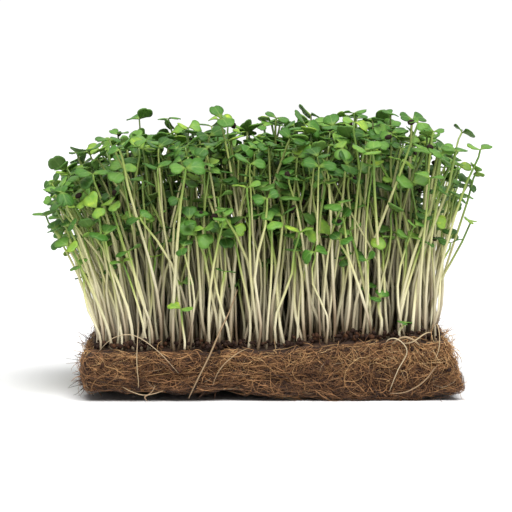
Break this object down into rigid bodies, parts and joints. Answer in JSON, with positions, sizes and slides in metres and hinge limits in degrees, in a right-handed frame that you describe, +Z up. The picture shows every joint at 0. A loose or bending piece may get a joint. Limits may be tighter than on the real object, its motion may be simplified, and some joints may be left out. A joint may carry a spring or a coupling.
{
  "type": "microgreens on a coir slab",
  "caption": "Living microgreens for cutting: pale stems with paired heart-shaped seed leaves, rooted in tufts in a rectangular slab of coir fibre that lies flat on a table.",
  "frame": {"origin": "middle of the flat spot on the slab's underside, where it rests on the table", "axes": "+Z up, the way the seedlings grow; +X along the slab's long side, to the right seen from the front; the front faces -Y"},
  "size_m": [0.1772, 0.1384, 0.108],
  "materials": {
    "coir": "matte",
    "seed_leaf": "satin",
    "stem": "satin",
    "seed_hull": "satin",
    "root": "matte"
  },
  "bodies": {
    "root": {"coir_slab": "coir", "tuft_01": "seed_leaf", "tuft_02": "seed_leaf", "tuft_03": "seed_leaf", "tuft_04": "seed_leaf", "tuft_05": "seed_leaf", "tuft_06": "seed_leaf", "tuft_07": "seed_leaf", "tuft_08": "seed_leaf", "tuft_09": "seed_leaf", "tuft_10": "seed_leaf", "tuft_11": "seed_leaf", "tuft_12": "seed_leaf", "tuft_13": "seed_leaf", "tuft_14": "seed_leaf", "tuft_15": "seed_leaf", "tuft_16": "seed_leaf", "tuft_17": "seed_leaf", "tuft_18": "seed_leaf", "tuft_19": "seed_leaf", "tuft_20": "seed_leaf", "tuft_21": "seed_leaf", "tuft_22": "seed_leaf", "tuft_23": "seed_leaf", "tuft_24": "seed_leaf", "tuft_25": "seed_leaf", "tuft_26": "seed_leaf", "tuft_27": "seed_leaf", "tuft_28": "seed_leaf", "tuft_29": "seed_leaf", "tuft_30": "seed_leaf", "tuft_31": "seed_leaf", "tuft_32": "seed_leaf", "tuft_33": "seed_leaf"}
  },
  "joints": []
}
